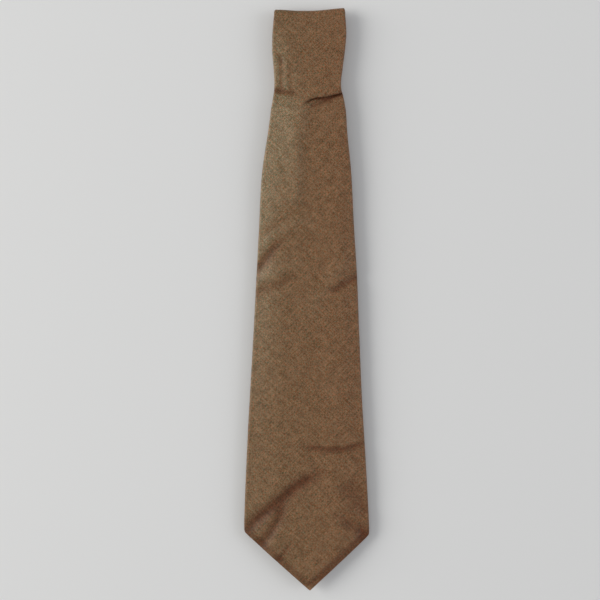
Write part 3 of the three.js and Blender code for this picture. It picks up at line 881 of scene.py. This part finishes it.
def tail_half(y):
    """Half the tail's width, from the lower fold to its shoulders."""
    share = np.clip((y - LOW_Y) / (TAIL_TIP - TAIL_DEPTH - LOW_Y), 0, 1)
    return NARROW_HALF + (TAIL_HALF - NARROW_HALF) * share


def tail_side(y):
    """The same, with the pointed tip."""
    left_over = np.maximum(TAIL_TIP - y, 0)
    pointed = TAIL_HALF * np.sqrt(left_over * (left_over + 1.0)) / TAIL_DEPTH
    return softer(pointed, tail_half(y), 1.0)


def lay_tail(x, y, level):
    """y runs on below the lower fold's middle for the half turn of the fold itself."""
    turn = np.clip((LOW_Y - y) / LOW_ARC, 0, 1) * np.pi
    radius = LOW_GAP + RUN - level
    reach = 3.5 - 1.5 * level / RUN
    folded = y < LOW_Y
    flat_z = dip(x, y, level, SECOND_JOIN)
    return np.stack([x, np.where(folded, LOW_Y - reach * np.sin(turn), y),
                     np.where(folded, LOW_Z - radius * np.cos(turn), flat_z)], -1)


def across_low_fold(piece):
    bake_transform(piece)


turn_rows = spaced((LOW_Y - LOW_ARC, LOW_Y, LOW_ARC / 18), (LOW_Y, SECOND_JOIN - 3.5, 2.0),
                   (SECOND_JOIN - 3.5, SECOND_JOIN - SEAM_GAP, 0.4))
turn_silk = sleeve("tail_gusset_silk", turn_rows, ease(turn_rows, LOW_Y + 2, SECOND_JOIN - 3.5),
                   tail_side(turn_rows), lay_tail)
tail_rows = spaced((SECOND_JOIN + SEAM_GAP, SECOND_JOIN + 3.5, 0.4),
                   (SECOND_JOIN + 3.5, -90.0, 2.5), (-90.0, 180.0, 4.5), (180.0, 192.0, 0.8),
                   (192.0, 223.0, 1.2), (223.0, TAIL_TIP - 0.05, 0.5))
from_tip = TAIL_TIP - tail_rows
below = np.clip((from_tip - TAIL_FLAPS_FROM) / (TAIL_NOTCH - TAIL_FLAPS_FROM), 0, 1)
past = ease(from_tip, TAIL_NOTCH, TAIL_NOTCH + 1.2)
half = tail_side(tail_rows)
edge = np.maximum(half - TAIL_HEM, 0.1)
edge = np.where(from_tip > TAIL_FLAPS_FROM, 17.5 - 13.5 * below, edge)
tail_silk = sleeve("tail_silk", tail_rows, ease(tail_rows, -92, SECOND_JOIN + 3.5), half, lay_tail,
                   flaps=(-edge + (LAP + edge) * past, edge - (LAP + edge) * past))
tail_wool_rows = spaced((LOW_Y - LOW_ARC, LOW_Y, LOW_ARC / 18), (LOW_Y, 200.0, 5.0),
                        (200.0, TAIL_TIP - 2.9, 2.0))
inner = tail_side(tail_wool_rows) - SIDE_INSET - 0.7 * ease(tail_wool_rows, 200, 206)
inner = np.maximum(inner, 0.05)
tail_wool = strip("tail_wool", tail_wool_rows, -inner, inner, WOOL_LEVEL, lay_tail, WOOL, wool, 21)
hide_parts("tail_interlining", "lower_fold_interlining")
across_low_fold(tail_wool)
silk_piece(["lower_fold_envelope", "tail_gusset_end"])
silk_piece(["tail_envelope"])
across_low_fold(turn_silk)
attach(tail_silk, "tail")

stitch("second_join_stitches", [join_line(SECOND_JOIN, 19.5, lay_tail)], 1.7, 1.3, 0, "tail",
       ["second_join_seam"], rise=0.05, thick=0.3)
tipping_y = spaced((TAIL_TIP - TAIL_NOTCH - 10, 200.0, 2.5), (200.0, TAIL_TIP - 2.6, 1.4))
inner = tail_side(tipping_y) - SIDE_INSET + 0.3 - 0.7 * ease(tipping_y, 200, 206)
inner = np.maximum(inner, 0.05)
tail_tipping = strip("tail_satin_tipping", tipping_y, -inner, inner, TIPPING_LEVEL, lay_tail, TIPPING,
                     lining, 25)
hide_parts("tail_tipping")
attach(tail_tipping, "tail")
hem_y = np.linspace(TAIL_TIP - 24, TAIL_TIP - 9.2, 12)
hem_x = tail_side(hem_y) - TAIL_HEM
hems = [lay_tail(-hem_x, hem_y, np.full(12, ON_INNER)), lay_tail(hem_x, hem_y, np.full(12, ON_TABLE))]
stitch("tail_tipping_felling", hems, 2.4, 1.4, 50, "tail", ["tail_tipping_stitch"], rise=0)
tack_y = TAIL_TIP - TAIL_NOTCH + 0.6
tack = lay_tail(np.array([-TACK_HALF, TACK_HALF]), np.full(2, tack_y), np.full(2, ON_TABLE))
stitch("tail_bar_tack_thread", [tack], 0.42, 2.2, 90, "tail", ["tail_bar_tack"], rise=0)
closing_y = np.linspace(LOW_Y + 2, TAIL_TIP - TAIL_NOTCH - 6, 60)
stitch("tail_slip_stitching", [lay_tail(np.full(60, -LAP), closing_y, np.full(60, ON_TABLE))],
       6.5, 2.6, 62, "tail", ["tail_slip_stitch"], rise=0)
